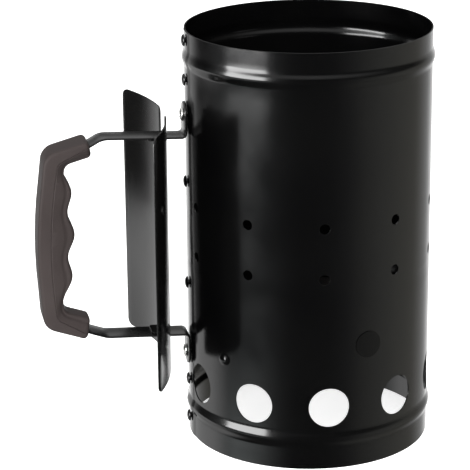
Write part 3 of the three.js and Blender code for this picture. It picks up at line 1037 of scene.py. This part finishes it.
def make_fasteners(paint, bright, steel):
    tab_seat = LAP_RADIUS + GAP + STRAP_THICK + GAP
    for side, word in ((1, "upper"), (-1, "lower")):
        level = STRAP_MID + side * (STRAP_HALF_SPAN + TAB_SCREW_DROP)
        make_screw(f"tab_screw_{word}", f"handle_screw_{word}", -90, level, 4.5, 2.2, tab_seat, 2.0, 76.5,
                   bright, True)
        make_nut(f"tab_nut_{word}", f"handle_nut_{word}", -90, level, TAB_NUT_FACE, bright)
        in_grip = GRIP_MID + side * GRIP_SCREW_OFFSET
        make_grip_screw(f"grip_bolt_{word}", f"grip_screw_{word}", in_grip, bright)
    for k, turn in enumerate(GRATE_SCREW_TURNS):
        make_screw(f"grate_bolt_{k + 1}", f"grate_screw_{k + 1}", turn, GRATE_SCREW_LEVEL, 4, 2.2,
                   BARREL_RADIUS + GAP, 1.8, 74, paint, False)
        make_nut(f"grate_hex_{k + 1}", f"grate_nut_{k + 1}", turn, GRATE_SCREW_LEVEL, GRATE_NUT_FACE,
                 steel)


def make_grip_screw(name, node, level, material):
    """Its head sits in the well on the finger side, facing the barrel."""
    top = 169.0
    profile = [(0, top), (1.6, top - 0.2), (2.6, top - 0.1), (3.1, top + 0.4), (3.2, top + 1.1), (3.2, 170.9)]
    profile += [(1.6, 170.9), (1.6, 179.8), (1.1, 180.3), (0, 180.3)]
    place = leaned_frame(level)
    piece = new_piece(name, turned_mesh(name, profile, 48, place), material, [node])
    flip = place @ Matrix.Translation((0, 0, 2 * top * MM)) @ Matrix.Rotation(math.pi, 4, "X")
    cut_with(piece, [cross_cutter(flip, top, angle) for angle in (0, 90)])


def make_label(material):
    """A thin round label that follows the wall: a front sheet, a back sheet and the rim between."""
    sides, layers = 64, 7
    middle = math.radians(LABEL_TURN)
    points, sheets = [], []
    for out in (BARREL_RADIUS + GAP + 0.3, BARREL_RADIUS + GAP):
        sheet_rings = []
        for layer in range(1, layers + 1):
            radius = LABEL_RADIUS * layer / layers
            sheet_rings.append(range(len(points), len(points) + sides))
            for k in range(sides):
                angle = TURN * k / sides
                at = middle + radius * math.cos(angle) / BARREL_RADIUS
                level = LABEL_LEVEL + radius * math.sin(angle)
                points.append((out * math.sin(at), -out * math.cos(at), level))
        sheets.append(sheet_rings)
    front, back = sheets
    faces = [tuple(front[0]), tuple(back[0])]
    joined = [*zip(front, front[1:]), *zip(back, back[1:]), (front[-1], back[-1])]
    for a, b in joined:
        faces += ring_faces(a, b)
    new_piece("label_disc", mesh_from("label_disc", points, faces), material, ["blank_label"])


# -------------------------------- studio
def soft_light(name, place, aim, width, height, power):
    data = bpy.data.lights.new(name, "AREA")
    data.shape = "RECTANGLE"
    data.size = width
    data.size_y = height
    data.energy = power
    light = bpy.data.objects.new(name, data)
    bpy.context.scene.collection.objects.link(light)
    light.location = place
    light.rotation_euler = (Vector(aim) - Vector(place)).to_track_quat("-Z", "Y").to_euler()
    return light


def floor_white():
    """A pale, slightly lit floor, so the shadow under the object stays faint."""
    material, _, _, shader = principled("floor_white")
    shader.inputs["Base Color"].default_value = (0.9, 0.9, 0.9, 1)
    shader.inputs["Roughness"].default_value = 0.9
    shader.inputs["Emission Color"].default_value = (1, 1, 1, 1)
    shader.inputs["Emission Strength"].default_value = FLOOR_GLOW
    return material


def maths(nodes, links, operation, *values):
    node = nodes.new("ShaderNodeMath")
    node.operation = operation
    for socket, value in zip(node.inputs, values):
        if isinstance(value, (int, float)):
            socket.default_value = value
        else:
            links.new(value, socket)
    return node.outputs["Value"]


def stops(nodes, links, value, entries, brightest=1.0):
    """A colour ramp from (position, brightness or colour) entries, as shares of the brightest."""
    ramp = nodes.new("ShaderNodeValToRGB")
    links.new(value, ramp.inputs["Fac"])
    elements = ramp.color_ramp.elements
    while len(elements) < len(entries):
        elements.new(0.5)
    for element, (position, colour) in zip(elements, entries):
        element.position = position
        tint = (colour, colour, colour) if isinstance(colour, (int, float)) else colour
        element.color = (*[value / brightest for value in tint], 1)
    return ramp.outputs["Color"]


def blended(nodes, links, kind, first, second, factor=1.0):
    """Two colours multiplied, added or mixed."""
    mix = nodes.new("ShaderNodeMix")
    mix.data_type = "RGBA"
    mix.blend_type = kind
    mix.clamp_result = False
    if isinstance(factor, float):
        mix.inputs["Factor"].default_value = factor
    else:
        links.new(factor, mix.inputs["Factor"])
    links.new(first, mix.inputs["A"])
    links.new(second, mix.inputs["B"])
    return mix.outputs["Result"]


def studio_world():
    """Soft surroundings: dark in front, a tall soft light at the left, a pale wall at the right.

    The camera itself sees plain white instead.
    """
    world = bpy.data.worlds.new("studio")
    bpy.context.scene.world = world
    world.use_nodes = True
    nodes, links = world.node_tree.nodes, world.node_tree.links
    coordinate = nodes.new("ShaderNodeTexCoord")
    direction = nodes.new("ShaderNodeSeparateXYZ")
    links.new(coordinate.outputs["Generated"], direction.inputs["Vector"])
    forward = maths(nodes, links, "MULTIPLY", direction.outputs["Y"], -1.0)
    turn = maths(nodes, links, "ARCTAN2", direction.outputs["X"], forward)
    around_share = maths(nodes, links, "MULTIPLY_ADD", turn, 1 / TURN, 0.5)
    # The height ramps run from -0.5 to 0.5, where the barrel and the handle look.
    height = maths(nodes, links, "ADD", direction.outputs["Z"], 0.5)

    def across(entries, brightest=1.0):
        shares = [((angle + FRONT_TURN + 180) / 360, colour) for angle, colour in entries]
        return stops(nodes, links, around_share, shares, brightest)

    def upward(entries, brightest=1.0):
        return stops(nodes, links, height, [(z + 0.5, colour) for z, colour in entries], brightest)

    change = spread(nodes, links, direction.outputs["Z"], 0, 1, *WALL_CHANGE)
    walls = blended(nodes, links, "MIX", across(LOW_WALLS, BRIGHTEST), across(HIGH_WALLS, BRIGHTEST), change)
    walls = blended(nodes, links, "MULTIPLY", walls, upward(WALLS_UP))
    tinted = [(angle, tuple(share * tint for tint in SOFTBOX_TINT)) for angle, share in SOFTBOX_ACROSS]
    softbox = blended(nodes, links, "MULTIPLY", across(tinted), upward(SOFTBOX_UP, BRIGHTEST))
    total = blended(nodes, links, "ADD", walls, softbox)
    total = blended(nodes, links, "ADD", total, upward(CEILING, BRIGHTEST))
    lit = nodes["Background"]
    links.new(total, lit.inputs["Color"])
    lit.inputs["Strength"].default_value = BRIGHTEST
    white = nodes.new("ShaderNodeBackground")
    white.inputs["Color"].default_value = (1, 1, 1, 1)
    white.inputs["Strength"].default_value = BACKGROUND_WHITE
    path = nodes.new("ShaderNodeLightPath")
    choose = nodes.new("ShaderNodeMixShader")
    links.new(path.outputs["Is Camera Ray"], choose.inputs[0])
    links.new(lit.outputs["Background"], choose.inputs[1])
    links.new(white.outputs["Background"], choose.inputs[2])
    links.new(choose.outputs["Shader"], nodes["World Output"].inputs["Surface"])


def make_studio():
    mesh = bpy.data.meshes.new("floor")
    half = FLOOR_HALF_SIZE
    corners = [(-half, -half, 0), (half, -half, 0), (half, half, 0), (-half, half, 0)]
    mesh.from_pydata(corners, [], [(0, 1, 2, 3)])
    floor = bpy.data.objects.new("floor", mesh)
    bpy.context.scene.collection.objects.link(floor)
    mesh.materials.append(floor_white())
    floor.visible_glossy = False
    studio_world()
    key = soft_light("key", KEY_PLACE, KEY_AIM, *KEY_SIZE, KEY_POWER)
    key.visible_glossy = False
    softbox = soft_light("softbox", SOFTBOX_PLACE, (0, 0, SOFTBOX_PLACE[2]), *SOFTBOX_SIZE, SOFTBOX_POWER)
    softbox.visible_diffuse = False


# -------------------------------- camera
def make_camera():
    data = bpy.data.cameras.new("camera")
    data.sensor_width = 36.0
    data.lens = CAMERA_LENS
    camera = bpy.data.objects.new("camera", data)
    bpy.context.scene.collection.objects.link(camera)
    front = math.radians(FRONT_TURN)
    place = (AXIS_X + CAMERA_STAND * math.sin(front), -CAMERA_STAND * math.cos(front), CAMERA_HEIGHT)
    camera.location = [length * MM for length in place]
    turn, pitch, roll = math.radians(CAMERA_TURN), math.radians(CAMERA_PITCH), math.radians(CAMERA_ROLL)
    facing = Matrix.Rotation(turn, 4, "Z") @ Matrix.Rotation(math.pi / 2 - pitch, 4, "X")
    camera.rotation_euler = (facing @ Matrix.Rotation(roll, 4, "Z")).to_euler()
    bpy.context.scene.camera = camera
    bpy.context.scene.view_settings.view_transform = "Standard"


make_camera()
enamel = black_enamel("barrel_enamel", (0.001, 0.001, 0.0011), (0.0016, 0.0016, 0.0016), 0.16, 0.4)
strap_enamel = black_enamel("strap_enamel", (0.0015, 0.0015, 0.0015), (0.003, 0.003, 0.003), 0.25, 0.1)
shield_enamel = black_enamel("shield_enamel", (0.002, 0.002, 0.0019), (0.003, 0.003, 0.0028), 0.16, 0.25)
zinc = bright_steel()
steel = plain_steel()
make_barrel(enamel)
make_strap(strap_enamel)
make_shield(shield_enamel)
make_grip(brown_plastic())
make_grate(steel)
make_rivets(enamel)
make_fasteners(enamel, zinc, steel)
make_label(label_film())
make_studio()
